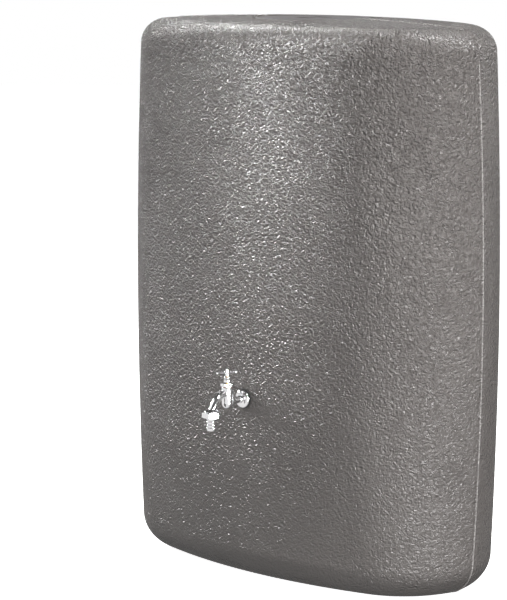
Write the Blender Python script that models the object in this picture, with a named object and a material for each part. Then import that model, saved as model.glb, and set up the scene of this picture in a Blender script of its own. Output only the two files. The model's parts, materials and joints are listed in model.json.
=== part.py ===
"""Slim wall-standing rain barrel, 275 litres, with a flush screw lid and a garden tap.

Units are metres and +Z is up. The origin is the centre of the flat base, on the floor.
+X is the barrel's right as seen from the front, and -Y is the front, where the tap is.
"""
import math

import bmesh
import bpy
from mathutils import Vector

# Tank: overall size, plan outline and bulge
WIDTH = 0.845
DEPTH = 0.420
HEIGHT = 1.050
WALL = 0.005
CORNER_RADIUS = 0.2206
SIDE_ARC_END = math.radians(13.0)
FRONT_ARC_START = math.radians(75.0)
BULGE_X = 0.0215
BULGE_Y = 0.0118
CROWN_X = 0.0106
CROWN_Y = 0.0048
TOP_FILLET = 0.0468
BASE_FILLET = 0.0605
CROWN_SLOPE = math.radians(3.35)
SIDE_STEPS = 1
CORNER_STEPS = 6
FRONT_STEPS = 5
FILLET_STEPS = 4
WALL_STEPS = 6
CROWN_STEPS = 2

# Filler mouth in the tank's top and its screw lid
MOUTH_STEPS = 36
POCKET_STEPS = 4
WELL_RADIUS = 0.112
WELL_FLOOR_Z = 1.034
NECK_RADIUS = 0.098
NECK_BOTTOM_Z = 1.000
LID_TOP_Z = 1.0478
LID_RADIUS = 0.1105
LID_EDGE = 0.002
LID_SKIN = 0.0035
LID_SKIRT_RADIUS = 0.0965
LID_SKIRT_SKIN = 0.004
LID_SKIRT_BOTTOM_Z = 1.004
POCKET_LENGTH = 0.046
POCKET_WIDTH = 0.024
POCKET_DEPTH = 0.018
POCKET_CORNER = 0.009
GRIP_WIDTH = 0.022
LID_GASKET_INNER = 0.100
LID_GASKET_OUTER = 0.110
LID_GASKET_THICKNESS = 0.002

# Tap: where its inlet axis leaves the tank, and its own axes measured out from the wall
GAP = 0.0003
CLEAR = 0.010
TAP_X = 0.0225
TAP_Z = 0.3495
TAP_STEPS = 20
SPINDLE_OUT = 0.04305
OUTLET_OUT = 0.0835
INLET_BORE = 0.00473
SHANK_RADIUS = 0.01092
TUBE_RADIUS = 0.0071
SPOUT_BORE = 0.00441
INSERT_RADIUS = 0.01418
INSERT_BORE = 0.01145
INSERT_LENGTH = 0.021
BOSS_RADIUS = 0.01995
SEAL_BACK = 0.0006
SEAL_FRONT = 0.00273
SEAL_RADIUS = 0.0192
HANDLE_ANGLE = math.radians(72.0)
HANDLE_LENGTH = 0.0445
HANDLE_BAR_RADIUS = 0.0025
HANDLE_BAR_UP = 0.0546
NUT_TOP = -0.01407
NUT_BOTTOM = -0.02457
NUT_FLATS = 0.03202

# Finishes: colour, roughness, metallic
FINISHES = {
    "tank_plastic": ((0.160, 0.150, 0.153), 0.42, 0.0),
    "lid_plastic": ((0.120, 0.113, 0.116), 0.45, 0.0),
    "rubber": ((0.020, 0.020, 0.020), 0.70, 0.0),
    "brass": ((0.720, 0.480, 0.180), 0.30, 1.0),
    "chrome": ((0.800, 0.800, 0.800), 0.10, 1.0),
    "fibre": ((0.280, 0.090, 0.050), 0.80, 0.0),
    "packing": ((0.700, 0.690, 0.660), 0.60, 0.0),
}


def clear_scene():
    """Remove every object from the scene."""
    for obj in list(bpy.data.objects):
        bpy.data.objects.remove(obj, do_unlink=True)


def finish(name):
    """Return the Principled material of that name."""
    material = bpy.data.materials.get(name)
    if material is None:
        colour, roughness, metallic = FINISHES[name]
        material = bpy.data.materials.new(name)
        material.use_nodes = True
        shader = material.node_tree.nodes["Principled BSDF"]
        shader.inputs["Base Color"].default_value = (*colour, 1.0)
        shader.inputs["Roughness"].default_value = roughness
        shader.inputs["Metallic"].default_value = metallic
    return material


def add_object(name, bm, material=None):
    """Turn a bmesh into a named object with outward faces and smooth shading."""
    bmesh.ops.recalc_face_normals(bm, faces=bm.faces)
    mesh = bpy.data.meshes.new(name)
    bm.to_mesh(mesh)
    bm.free()
    mesh.shade_smooth()
    mesh.set_sharp_from_angle(angle=math.radians(35.0))
    obj = bpy.data.objects.new(name, mesh)
    bpy.context.scene.collection.objects.link(obj)
    if material:
        mesh.materials.append(finish(material))
    return obj


def as_tool(obj):
    """Mark an object as a construction tool, which isn't a part of the barrel."""
    obj.hide_render = True
    obj.display_type = "WIRE"
    return obj


def combine(target, tool, operation):
    """Join a tool to a target, or cut it away, with an exact Boolean."""
    modifier = target.modifiers.new(tool.name, "BOOLEAN")
    modifier.operation = operation
    modifier.solver = "EXACT"
    modifier.object = as_tool(tool)


def bridge(bm, rings):
    """Join neighbouring rings of vertices with quads; a ring of one vertex is a pole."""
    for low, high in zip(rings, rings[1:]):
        count = max(len(low), len(high))
        for i in range(count):
            j = (i + 1) % count
            if len(low) == 1:
                bm.faces.new((low[0], high[i], high[j]))
            elif len(high) == 1:
                bm.faces.new((low[i], low[j], high[0]))
            else:
                bm.faces.new((low[i], low[j], high[j], high[i]))


def turned(name, profile, material=None, steps=TAP_STEPS):
    """Turn a profile of (radius, height) points about Z.

    A profile that starts and ends on the axis makes a solid; any other is closed into a ring.
    """
    bm = bmesh.new()
    rings = []
    for radius, height in profile:
        if radius == 0.0:
            rings.append([bm.verts.new((0.0, 0.0, height))])
            continue
        ring = []
        for i in range(steps):
            angle = math.tau * (i + 0.5) / steps
            ring.append(bm.verts.new((radius * math.cos(angle), radius * math.sin(angle), height)))
        rings.append(ring)
    if profile[0][0] > 0.0:
        rings.append(rings[0])
    bridge(bm, rings)
    return add_object(name, bm, material)


def rod(name, radius, low, high, material=None, steps=TAP_STEPS):
    """Make a round bar along Z between two heights."""
    profile = [(0.0, low), (radius, low), (radius, high), (0.0, high)]
    return turned(name, profile, material, steps)


def pillow(name, y, grow, low, high):
    """Make an upright prism with a finger pocket's rounded outline, grown by a distance."""
    radius = POCKET_CORNER + grow
    half_x = POCKET_LENGTH / 2 - POCKET_CORNER
    half_y = POCKET_WIDTH / 2 - POCKET_CORNER
    bm = bmesh.new()
    rings = []
    for z in (low, high):
        ring = []
        for side_x, side_y, start in ((1, 1, 0.0), (-1, 1, 0.25), (-1, -1, 0.5), (1, -1, 0.75)):
            for i in range(POCKET_STEPS + 1):
                angle = math.tau * (start + 0.25 * i / POCKET_STEPS)
                corner_x = side_x * half_x + radius * math.cos(angle)
                corner_y = y + side_y * half_y + radius * math.sin(angle)
                ring.append(bm.verts.new((corner_x, corner_y, z)))
        rings.append(ring)
    bridge(bm, rings)
    bm.faces.new(rings[0])
    bm.faces.new(rings[-1])
    return add_object(name, bm)


def swept(name, path, radius, steps=TAP_STEPS):
    """Sweep a round tube along points that lie in the YZ plane."""
    bm = bmesh.new()
    rings = []
    across = Vector((1.0, 0.0, 0.0))
    for i, point in enumerate(path):
        before = path[max(i - 1, 0)]
        after = path[min(i + 1, len(path) - 1)]
        normal = (after - before).normalized().cross(across)
        ring = []
        for k in range(steps):
            angle = math.tau * k / steps
            offset = across * (radius * math.cos(angle)) + normal * (radius * math.sin(angle))
            ring.append(bm.verts.new(point + offset))
        rings.append(ring)
    bridge(bm, rings)
    bm.faces.new(rings[0])
    bm.faces.new(rings[-1])
    return add_object(name, bm)


def outline_arcs():
    """Work out the side and front radii that close the plan outline at its width and depth."""
    half_x = WIDTH / 2 - CORNER_RADIUS * (math.cos(SIDE_ARC_END) - math.cos(FRONT_ARC_START))
    half_y = DEPTH / 2 - CORNER_RADIUS * (math.sin(FRONT_ARC_START) - math.sin(SIDE_ARC_END))
    a, b = 1.0 - math.cos(SIDE_ARC_END), math.cos(FRONT_ARC_START)
    c, d = math.sin(SIDE_ARC_END), 1.0 - math.sin(FRONT_ARC_START)
    determinant = a * d - b * c
    side = (half_x * d - b * half_y) / determinant
    front = (a * half_y - c * half_x) / determinant
    return side, front


def quarter_outline():
    """Return (x, y, normal angle) from the +X tip to the middle of the +Y face."""
    side, front = outline_arcs()
    arcs = [
        (0.0, SIDE_ARC_END, side, SIDE_STEPS),
        (SIDE_ARC_END, FRONT_ARC_START, CORNER_RADIUS, CORNER_STEPS),
        (FRONT_ARC_START, math.pi / 2, front, FRONT_STEPS),
    ]
    centre_x, centre_y = WIDTH / 2 - side, 0.0
    points = []
    for number, (start, end, radius, steps) in enumerate(arcs):
        if number:
            change = arcs[number - 1][2] - radius
            centre_x += change * math.cos(start)
            centre_y += change * math.sin(start)
        for i in range(steps):
            angle = start + (end - start) * i / steps
            x = centre_x + radius * math.cos(angle)
            y = centre_y + radius * math.sin(angle)
            points.append((x, y, angle))
    points.append((0.0, DEPTH / 2, math.pi / 2))
    return points


def plan_outline():
    """Return the whole outline as (x, y, normal x, normal y), anticlockwise from +X."""
    quarter = [(x, y, math.cos(t), math.sin(t)) for x, y, t in quarter_outline()]
    back_left = [(-x, y, -nx, ny) for x, y, nx, ny in reversed(quarter[:-1])]
    half = quarter + back_left
    front = [(x, -y, nx, -ny) for x, y, nx, ny in reversed(half[1:-1])]
    return half + front


def top_height(x, y):
    """Return the crowned top's height over a point of the outline."""
    return HEIGHT - CROWN_X * (x / (WIDTH / 2)) ** 2 - CROWN_Y * (y / (DEPTH / 2)) ** 2


def tank_form(name, inset):
    """Loft the tank's form, set in from its outer skin by a distance."""
    outline = plan_outline()
    bm = bmesh.new()
    rings = []

    def add_ring(extra_inset, heights):
        ring = []
        for (x, y, nx, ny), z in zip(outline, heights):
            t = 2.0 * z / HEIGHT - 1.0
            across = inset + extra_inset
            ring.append(bm.verts.new((
                x - nx * (across + BULGE_X * t * t * abs(nx)),
                y - ny * (across + BULGE_Y * t * t * abs(ny)),
                z,
            )))
        rings.append(ring)

    base_fillet = BASE_FILLET - inset
    top_fillet = TOP_FILLET - inset
    tops = [top_height(x, y) - inset for x, y, _, _ in outline]
    for i in range(FILLET_STEPS):
        angle = math.pi / 2 * i / FILLET_STEPS
        height = inset + base_fillet * (1.0 - math.cos(angle))
        add_ring(base_fillet * (1.0 - math.sin(angle)), [height] * len(outline))
    for i in range(WALL_STEPS + 1):
        low = inset + base_fillet
        add_ring(0.0, [low + (top - top_fillet - low) * i / WALL_STEPS for top in tops])
    for i in range(1, FILLET_STEPS + 1):
        angle = (math.pi / 2 - CROWN_SLOPE) * i / FILLET_STEPS
        rise = top_fillet * (math.sin(angle) - 1.0)
        add_ring(top_fillet * (1.0 - math.cos(angle)), [top + rise for top in tops])
    edge = [vert.co.copy() for vert in rings[-1]]
    summit = HEIGHT - inset
    for i in range(1, CROWN_STEPS):
        scale = 1.0 - i / CROWN_STEPS
        ring = []
        for corner in edge:
            height = summit - (summit - corner.z) * scale * scale
            ring.append(bm.verts.new((corner.x * scale, corner.y * scale, height)))
        rings.append(ring)
    rings.append([bm.verts.new((0.0, 0.0, summit))])
    bridge(bm, rings)
    bm.faces.new(rings[0])
    return add_object(name, bm)


def wall_y():
    """Return the front wall's outer Y at the tap's height."""
    t = 2.0 * TAP_Z / HEIGHT - 1.0
    return -(DEPTH / 2 - BULGE_Y * t * t)


def tap_point(out, up):
    """Return the world point at a distance out from the wall and up from the inlet axis."""
    return Vector((TAP_X, wall_y() - out, TAP_Z + up))


def on_inlet(obj):
    """Put a turned piece on the inlet axis, its +Z pointing out from the wall."""
    obj.location = tap_point(0.0, 0.0)
    obj.rotation_euler = (math.pi / 2, 0.0, 0.0)
    return obj


def on_spindle(obj):
    """Put a turned piece on the spindle's axis, heights counted from the inlet axis."""
    obj.location = tap_point(SPINDLE_OUT, 0.0)
    return obj


def on_outlet(obj):
    """Put a turned piece on the outlet's axis, heights counted from the inlet axis."""
    obj.location = tap_point(OUTLET_OUT, 0.0)
    return obj


def build_tank():
    """Make the moulded tank: a shell with a filler well, a neck and a boss for the tap."""
    shell = tank_form("tank_shell", 0.0)
    shell.data.materials.append(finish("tank_plastic"))
    cavity = tank_form("tank_cavity", WALL)
    above = HEIGHT + CLEAR
    well_wall = rod("well_wall", WELL_RADIUS + WALL, WELL_FLOOR_Z - WALL, above, steps=MOUTH_STEPS)
    neck_wall = rod("neck_wall", NECK_RADIUS + WALL, NECK_BOTTOM_Z, above, steps=MOUTH_STEPS)
    boss = on_inlet(rod("boss_wall", BOSS_RADIUS, -INSERT_LENGTH, CLEAR))
    for keep in (well_wall, neck_wall, boss):
        combine(cavity, keep, "DIFFERENCE")
    well = rod("well_cut", WELL_RADIUS, WELL_FLOOR_Z, above, steps=MOUTH_STEPS)
    neck = rod("neck_cut", NECK_RADIUS, NECK_BOTTOM_Z - CLEAR, above, steps=MOUTH_STEPS)
    hole = on_inlet(rod("tap_hole_cut", INSERT_RADIUS + GAP, -INSERT_LENGTH - CLEAR, CLEAR))
    for cut in (cavity, well, neck, hole):
        combine(shell, cut, "DIFFERENCE")


def build_lid():
    """Make the flush screw lid, with a finger pocket on each side of a grip bar, and its gasket."""
    flange_bottom = WELL_FLOOR_Z + LID_GASKET_THICKNESS + 2 * GAP
    skirt_inner = LID_SKIRT_RADIUS - LID_SKIRT_SKIN
    under_skin = LID_TOP_Z - LID_SKIN
    profile = [
        (0.0, LID_TOP_Z),
        (LID_RADIUS - LID_EDGE, LID_TOP_Z),
        (LID_RADIUS, LID_TOP_Z - LID_EDGE),
        (LID_RADIUS, flange_bottom),
        (LID_SKIRT_RADIUS, flange_bottom),
        (LID_SKIRT_RADIUS, LID_SKIRT_BOTTOM_Z),
        (skirt_inner, LID_SKIRT_BOTTOM_Z),
        (skirt_inner, under_skin),
        (0.0, under_skin),
    ]
    lid = turned("lid", profile, "lid_plastic", MOUTH_STEPS)
    pocket_floor = LID_TOP_Z - POCKET_DEPTH
    above = LID_TOP_Z + CLEAR
    out = (GRIP_WIDTH + POCKET_WIDTH) / 2
    for side, y in (("front", -out), ("back", out)):
        cup = pillow("cup_" + side, y, LID_SKIN, pocket_floor - LID_SKIN, LID_TOP_Z - LID_SKIN / 2)
        combine(lid, cup, "UNION")
        combine(lid, pillow("pocket_" + side, y, 0.0, pocket_floor, above), "DIFFERENCE")
    gasket_low = WELL_FLOOR_Z + GAP
    gasket_high = gasket_low + LID_GASKET_THICKNESS
    gasket = [
        (LID_GASKET_INNER, gasket_low),
        (LID_GASKET_OUTER, gasket_low),
        (LID_GASKET_OUTER, gasket_high),
        (LID_GASKET_INNER, gasket_high),
    ]
    turned("lid_gasket", gasket, "rubber", MOUTH_STEPS)


def build_wall_fittings():
    """Make the pieces round the inlet: moulded-in bush, rubber seal and rosette."""
    insert = [
        (INSERT_BORE, -INSERT_LENGTH),
        (INSERT_RADIUS, -INSERT_LENGTH),
        (INSERT_RADIUS, -0.00053),
        (INSERT_BORE, -0.00053),
    ]
    on_inlet(turned("tap_insert", insert, "brass"))
    seal = [
        (0.01155, SEAL_BACK),
        (SEAL_RADIUS, SEAL_BACK),
        (SEAL_RADIUS, SEAL_FRONT),
        (0.01155, SEAL_FRONT),
    ]
    on_inlet(turned("tap_seal", seal, "rubber"))
    back = SEAL_FRONT + GAP
    rosette = [
        (0.01596, back),
        (0.01785, back),
        (0.01764, back + 0.00168),
        (0.01575, back + 0.0042),
        (0.01208, back + 0.0063),
        (0.00725, back + 0.00735),
        (0.00725, back + 0.00588),
        (0.01155, back + 0.00494),
        (0.01449, back + 0.00315),
    ]
    on_inlet(turned("tap_rosette", rosette, "chrome"))


def spout_path(count):
    """Return points along the spout's curve, from the valve chamber to the outlet."""
    reach = OUTLET_OUT - SPINDLE_OUT
    controls = [
        tap_point(SPINDLE_OUT, 0.0126),
        tap_point(SPINDLE_OUT + 0.45 * reach, 0.02205),
        tap_point(SPINDLE_OUT + 0.83 * reach, 0.0021),
        tap_point(OUTLET_OUT, -0.0147),
    ]
    points = []
    for i in range(count):
        t = i / (count - 1)
        weights = ((1 - t) ** 3, 3 * t * (1 - t) ** 2, 3 * t * t * (1 - t), t ** 3)
        points.append(sum((point * weight for point, weight in zip(controls, weights)), Vector()))
    return points


def build_tap_body():
    """Make the cast tap body: inlet shank and tube, valve chamber, spout and outlet stub."""
    flange = SEAL_FRONT + GAP
    chamber = [
        (0.0, -0.01418),
        (0.00473, -0.01313),
        (0.0087, -0.00997),
        (0.0107, -0.00473),
        (0.0109, 0.0189),
        (0.0112, 0.02573),
        (0.0107, 0.0273),
        (0.0, 0.0273),
    ]
    body = on_spindle(turned("tap_body", chamber, "chrome"))
    shank = [
        (0.0, -0.0147),
        (SHANK_RADIUS, -0.0147),
        (SHANK_RADIUS, flange),
        (0.01365, flange),
        (0.01365, flange + 0.00252),
        (TUBE_RADIUS, flange + 0.00378),
        (TUBE_RADIUS, SPINDLE_OUT - 0.0042),
        (0.0, SPINDLE_OUT - 0.0042),
    ]
    combine(body, on_inlet(turned("inlet_form", shank)), "UNION")
    combine(body, swept("spout_form", spout_path(14), TUBE_RADIUS), "UNION")
    outlet = [
        (0.0, -0.0189),
        (0.01354, -0.0189),
        (0.01354, -0.01396),
        (0.0147, NUT_TOP + GAP),
        (0.0147, -0.01281),
        (0.00788, -0.00924),
        (0.0, -0.00924),
    ]
    combine(body, on_outlet(turned("outlet_form", outlet)), "UNION")
    cuts = [
        on_inlet(rod("inlet_bore", INLET_BORE, -0.021, SPINDLE_OUT)),
        on_spindle(rod("lower_chamber", 0.0063, -0.0084, 0.0042)),
        on_spindle(rod("valve_seat_bore", 0.00441, 0.00315, 0.00945)),
        on_spindle(rod("upper_chamber", 0.00861, 0.0084, 0.0315)),
        swept("spout_bore", spout_path(12), SPOUT_BORE),
        on_outlet(rod("outlet_bore", 0.00788, -0.0231, -0.0126)),
    ]
    for cut in cuts:
        combine(body, cut, "DIFFERENCE")


def hexagon(name, place, flats, low, high, material):
    """Make a solid hexagon on a tap axis, its outer edges chamfered top and bottom."""
    corner = flats / math.sqrt(3.0)
    chamfer = (corner - flats / 2) * 0.9
    form = place(turned(name, [(0.0, low), (corner, low), (corner, high), (0.0, high)], material, 6))
    cone = [
        (0.0, low),
        (corner - chamfer, low),
        (corner, low + chamfer / 2),
        (corner, high - chamfer / 2),
        (corner - chamfer, high),
        (0.0, high),
    ]
    combine(form, place(turned(name + "_turning", cone)), "INTERSECT")
    return form


def build_headgear():
    """Make the fixed top of the valve: bonnet, its gasket, packing nut and gland packing."""
    gasket = [(0.00882, 0.0276), (0.0101, 0.0276), (0.0101, 0.0282), (0.00882, 0.0282)]
    on_spindle(turned("bonnet_gasket", gasket, "fibre"))
    bonnet = hexagon("bonnet", on_spindle, 0.02257, 0.0285, 0.03423, "chrome")
    neck = [
        (0.0, 0.0315),
        (0.00525, 0.0315),
        (0.00525, 0.03465),
        (0.00409, 0.03591),
        (0.00409, 0.042),
        (0.0, 0.042),
    ]
    combine(bonnet, on_spindle(rod("bonnet_screw_end", 0.0083, 0.01838, 0.03045)), "UNION")
    combine(bonnet, on_spindle(turned("bonnet_neck", neck)), "UNION")
    combine(bonnet, on_spindle(rod("bonnet_bore", 0.00273, 0.021, 0.0441)), "DIFFERENCE")
    combine(bonnet, on_spindle(rod("bonnet_thread", 0.00451, 0.01575, 0.03045)), "DIFFERENCE")
    packing = [(0.00284, 0.04232), (0.00399, 0.04232), (0.00399, 0.0441), (0.00284, 0.0441)]
    on_spindle(turned("gland_packing", packing, "packing"))
    nut = [
        (0.00441, 0.03623),
        (0.00672, 0.03623),
        (0.00672, 0.04043),
        (0.00525, 0.0462),
        (0.00284, 0.0462),
        (0.00284, 0.04441),
        (0.00441, 0.04441),
    ]
    on_spindle(turned("packing_nut", nut, "chrome"))


def build_spindle():
    """Make the turning pieces: spindle, tee handle and the screw that holds the handle."""
    spindle = [
        (0.0, 0.021),
        (0.00189, 0.021),
        (0.00189, 0.01323),
        (0.0042, 0.01323),
        (0.0042, 0.02415),
        (0.00252, 0.02499),
        (0.00252, 0.05964),
        (0.00126, 0.05964),
        (0.00126, 0.0504),
        (0.0, 0.0504),
    ]
    on_spindle(turned("spindle", spindle, "brass"))
    hub = [
        (0.0, 0.04704),
        (0.0034, 0.04704),
        (0.0038, 0.04788),
        (0.0036, 0.05145),
        (0.0041, 0.0546),
        (0.0037, 0.05775),
        (0.0034, 0.05985),
        (0.0, 0.05985),
    ]
    handle = on_spindle(turned("tee_handle", hub, "chrome"))
    handle.rotation_euler = (0.0, 0.0, HANDLE_ANGLE)
    half = HANDLE_LENGTH / 2
    radius = HANDLE_BAR_RADIUS
    bar_profile = [
        (0.0, -half),
        (radius * 0.8, -half + 0.00031),
        (radius * 1.2, -half + 0.00147),
        (radius * 1.2, -half + 0.00315),
        (radius, -half + 0.0063),
        (radius, half - 0.0063),
        (radius * 1.2, half - 0.00315),
        (radius * 1.2, half - 0.00147),
        (radius * 0.8, half - 0.00031),
        (0.0, half),
    ]
    bar = turned("handle_bar", bar_profile, steps=16)
    bar.location = tap_point(SPINDLE_OUT, HANDLE_BAR_UP)
    bar.rotation_euler = (0.0, math.pi / 2, HANDLE_ANGLE)
    combine(handle, bar, "UNION")
    combine(handle, on_spindle(rod("handle_bore", 0.00284, 0.042, 0.063)), "DIFFERENCE")
    screw = [
        (0.0, 0.0525),
        (0.00094, 0.0525),
        (0.00094, 0.06016),
        (0.00347, 0.06016),
        (0.00347, 0.0609),
        (0.00231, 0.06174),
        (0.0, 0.06195),
    ]
    on_spindle(turned("handle_screw", screw, "chrome"))


def build_valve():
    """Make the closing pieces: jumper, its washer and the nut that holds the washer."""
    jumper = [
        (0.0, 0.00609),
        (0.00094, 0.00609),
        (0.00094, 0.01103),
        (0.00577, 0.01103),
        (0.00577, 0.0126),
        (0.00147, 0.01292),
        (0.00147, 0.01995),
        (0.0, 0.01995),
    ]
    on_spindle(turned("jumper", jumper, "brass"))
    washer = [(0.00136, 0.00872), (0.00588, 0.00872), (0.00588, 0.01071), (0.00136, 0.01071)]
    on_spindle(turned("valve_washer", washer, "rubber"))
    nut = hexagon("washer_nut", on_spindle, 0.00525, 0.00651, 0.0084, "brass")
    combine(nut, on_spindle(rod("washer_nut_bore", 0.00136, 0.00525, 0.00945)), "DIFFERENCE")


def build_hose_union():
    """Make the hose union: its nut, the barbed tail and the flat washer."""
    lip = 0.00158
    nut = hexagon("union_nut", on_outlet, NUT_FLATS, NUT_BOTTOM, NUT_TOP, "chrome")
    lip_hole = on_outlet(rod("union_nut_lip", 0.01113, NUT_BOTTOM - CLEAR, NUT_TOP))
    thread_hole = on_outlet(rod("union_nut_thread", 0.01396, NUT_BOTTOM + lip, NUT_TOP + CLEAR))
    combine(nut, lip_hole, "DIFFERENCE")
    combine(nut, thread_hole, "DIFFERENCE")
    washer_high = -0.01921
    washer_low = -0.02079
    washer = [
        (0.00819, washer_low),
        (0.01323, washer_low),
        (0.01323, washer_high),
        (0.00819, washer_high),
    ]
    on_outlet(turned("hose_washer", washer, "rubber"))
    flange_high = washer_low - GAP
    flange_low = NUT_BOTTOM + lip + GAP
    barb_count = 4
    barb_pitch = 0.00588
    barb_top = NUT_BOTTOM - 0.00105
    tail = [
        (0.00683, flange_high),
        (0.01323, flange_high),
        (0.01323, flange_low),
        (0.00945, flange_low),
        (0.00945, barb_top),
    ]
    for i in range(barb_count):
        low = barb_top - barb_pitch * (i + 1)
        tail.append((0.0105, low + barb_pitch))
        tail.append((0.0105, low + barb_pitch - 0.00105))
        tail.append((0.00882, low + 0.00042))
    tail.append((0.00683, barb_top - barb_pitch * barb_count))
    tail.reverse()
    on_outlet(turned("hose_tail", tail, "chrome"))


def build():
    """Build every piece of the barrel."""
    clear_scene()
    build_tank()
    build_lid()
    build_wall_fittings()
    build_tap_body()
    build_headgear()
    build_spindle()
    build_valve()
    build_hose_union()


build()
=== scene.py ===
import json
import math

import bmesh
import bpy
import numpy as np
from mathutils import Matrix, Vector, noise


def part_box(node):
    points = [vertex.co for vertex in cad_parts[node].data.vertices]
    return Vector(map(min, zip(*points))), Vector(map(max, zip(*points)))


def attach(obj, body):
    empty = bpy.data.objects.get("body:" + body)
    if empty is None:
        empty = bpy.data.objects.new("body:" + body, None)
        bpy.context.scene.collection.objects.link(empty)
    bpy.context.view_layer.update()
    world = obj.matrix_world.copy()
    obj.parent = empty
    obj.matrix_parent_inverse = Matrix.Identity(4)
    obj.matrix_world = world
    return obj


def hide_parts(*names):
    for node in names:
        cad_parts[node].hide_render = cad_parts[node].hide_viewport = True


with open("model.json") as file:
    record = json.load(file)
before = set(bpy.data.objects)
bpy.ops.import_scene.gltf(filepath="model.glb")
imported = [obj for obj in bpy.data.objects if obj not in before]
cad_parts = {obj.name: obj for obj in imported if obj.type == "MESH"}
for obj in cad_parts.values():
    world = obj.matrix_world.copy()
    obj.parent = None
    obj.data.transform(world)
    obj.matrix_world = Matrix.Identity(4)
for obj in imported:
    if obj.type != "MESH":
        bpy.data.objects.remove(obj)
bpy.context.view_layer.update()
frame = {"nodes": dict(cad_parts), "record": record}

# Tank skin: the form's proportions, as the solids have them
HEIGHT_OVER_RIM = 0.0015
WALL = 0.005
CORNER_RADIUS = 0.2206
SIDE_ARC_END = math.radians(13.0)
FRONT_ARC_START = math.radians(75.0)
BULGE_X = 0.0215
BULGE_Y = 0.0118
CROWN_X = 0.0106
CROWN_Y = 0.0048
TOP_FILLET = 0.0468
BASE_FILLET = 0.0605
CROWN_SLOPE = math.radians(3.35)
WELL_RADIUS = 0.112
WELL_FLOOR_Z = 1.034
NECK_RADIUS = 0.098
NECK_BOTTOM_Z = 1.000

# Tank skin: the mesh's pitch and the moulded detail on it
PITCH = 0.0024
FINE_STEPS = (0.0, 0.0005, 0.0010, 0.0015, 0.0021, 0.0028, 0.0037, 0.0050, 0.0070)
SEAM_HEIGHT = 0.0013
SEAM_HALF_WIDTH = 0.0014
SEAM_GROOVE = 0.0007
SEAM_GROOVE_Y = -0.0032
GRAIN_DEPTH = 0.00030
GRAIN_LENGTH = 0.0085
GRAIN_SEED = 7
# Painted highlight: the colour the parting line's ridge is painted where it should catch the light
SEAM_PAINTED_HIGHLIGHT = (0.40, 0.38, 0.37)

# Tap and lid: heights are from the inlet's axis, and pieces turn about their joint's axis
INLET_BACK = 0.00303
TUBE_RADIUS = 0.00710
SPOUT_RADIUS = 0.00725
BORE_RADIUS = 0.00473
SPOUT_BORE = 0.00441
HANDLE_TURN = math.radians(72.0)
HANDLE_HALF = 0.02225
HANDLE_Z = 0.0546
LID_RADIUS = 0.1105
SKIRT_INNER = 0.0925
POCKET_OUT = 0.023
SHARP_ANGLE = math.radians(32.0)

# View: the camera's place round the barrel, then how far it looks past its middle
CAMERA_DISTANCE = 4.8615
CAMERA_AZIMUTH = math.radians(43.44)
CAMERA_ELEVATION = math.radians(8.205)
CAMERA_YAW = math.radians(1.278)
CAMERA_PITCH = math.radians(0.166)
CAMERA_LENS = 160.3

# Light: what each box is aimed at, and how strongly the room fills the shadows
MIDDLE = (0.0, 0.0, 0.52)
SHOULDER = (0.33, -0.12, 1.02)
ROOM_FALLS = (("Z", 0.02, 0.48, 0.92, 0.12), ("Y", -0.35, 0.40, 1.0, 0.25))
ROOM_FILL = 0.24


def link(name, mesh):
    """Add a mesh to the scene as an object."""
    obj = bpy.data.objects.new(name, mesh)
    bpy.context.scene.collection.objects.link(obj)
    return obj


def take_mesh(name, bm):
    """Return a mesh holding what was modelled, and free the working copy."""
    mesh = bpy.data.meshes.new(name)
    bm.to_mesh(mesh)
    bm.free()
    return mesh


# ---------------------------------------------------------------- tank skin

def outline_arcs(width, depth):
    """Work out the side and front radii that close the plan outline."""
    half_x = width / 2 - CORNER_RADIUS * (math.cos(SIDE_ARC_END) - math.cos(FRONT_ARC_START))
    half_y = depth / 2 - CORNER_RADIUS * (math.sin(FRONT_ARC_START) - math.sin(SIDE_ARC_END))
    a, b = 1.0 - math.cos(SIDE_ARC_END), math.cos(FRONT_ARC_START)
    c, d = math.sin(SIDE_ARC_END), 1.0 - math.sin(FRONT_ARC_START)
    determinant = a * d - b * c
    side = (half_x * d - b * half_y) / determinant
    front = (a * half_y - c * half_x) / determinant
    return side, front


def quarter_outline(width, depth):
    """Return x, y and normal angle at even steps from the +X tip to the back's middle."""
    side, front = outline_arcs(width, depth)
    arcs = ((0.0, SIDE_ARC_END, side), (SIDE_ARC_END, FRONT_ARC_START, CORNER_RADIUS),
            (FRONT_ARC_START, math.pi / 2, front))
    length = sum((end - start) * radius for start, end, radius in arcs)
    count = round((length - FINE_STEPS[-1]) / PITCH)
    even = FINE_STEPS[-1] + (length - FINE_STEPS[-1]) * np.arange(1, count + 1) / count
    distances = np.concatenate([FINE_STEPS, even])
    x = np.zeros_like(distances)
    y = np.zeros_like(distances)
    angle = np.zeros_like(distances)
    centre = np.array([width / 2 - side, 0.0])
    begun = 0.0
    for number, (start, end, radius) in enumerate(arcs):
        if number:
            change = arcs[number - 1][2] - radius
            centre = centre + change * np.array([math.cos(start), math.sin(start)])
        here = distances >= begun - 1e-9
        turn = start + (distances[here] - begun) / radius
        angle[here] = turn
        x[here] = centre[0] + radius * np.cos(turn)
        y[here] = centre[1] + radius * np.sin(turn)
        begun += (end - start) * radius
    x[-1] = 0.0
    return x, y, angle


def plan_outline(width, depth):
    """Return the whole outline, anticlockwise from +X, as x, y, normal x and normal y."""
    x, y, angle = quarter_outline(width, depth)
    quarter = np.stack([x, y, np.cos(angle), np.sin(angle)], axis=1)
    quarter[-1, 2:] = (0.0, 1.0)
    half = np.concatenate([quarter, quarter[-2::-1] * (-1, 1, -1, 1)])
    return np.concatenate([half, half[-2:0:-1] * (1, -1, 1, -1)])


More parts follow.
